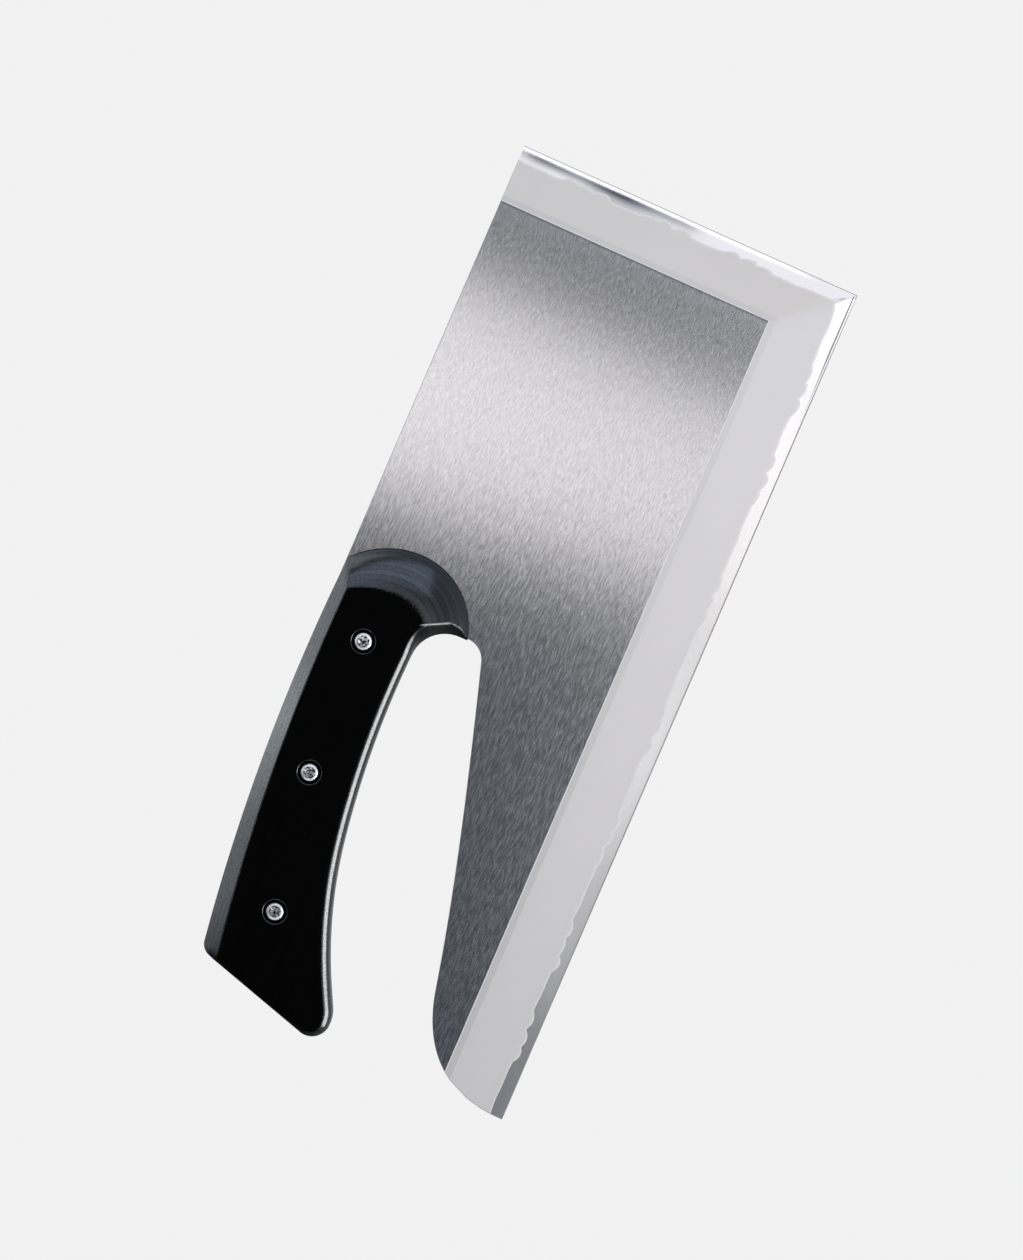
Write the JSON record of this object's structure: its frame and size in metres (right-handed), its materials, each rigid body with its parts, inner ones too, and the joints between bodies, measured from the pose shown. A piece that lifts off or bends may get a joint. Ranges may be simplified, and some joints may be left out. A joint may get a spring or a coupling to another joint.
{
  "type": "soba knife",
  "caption": "Broad single-bevel noodle knife whose blade runs back under the hand, with a finger gap, a full tang and screwed laminated-wood scales, for slicing folded dough.",
  "frame": {"origin": "on the surface that the back of the handle lies on, under the middle of the knife's box", "axes": "+X along the cutting edge to the front end, +Y from the cutting edge to the spine, +Z out of the bevelled side"},
  "size_m": [0.302, 0.1225, 0.023],
  "materials": {
    "blade_steel": "brushed flats, blasted bevel with a wavy line, polished edge",
    "black_laminate": "satin black resin-bonded laminate",
    "fastener_steel": "bright stainless"
  },
  "bodies": {
    "root": {"blade": "blade_steel", "front_scale": "black_laminate", "back_scale": "black_laminate", "nose_screw": "fastener_steel", "middle_screw": "fastener_steel", "rear_screw": "fastener_steel", "nose_sleeve_nut": "fastener_steel", "middle_sleeve_nut": "fastener_steel", "rear_sleeve_nut": "fastener_steel"}
  },
  "joints": []
}
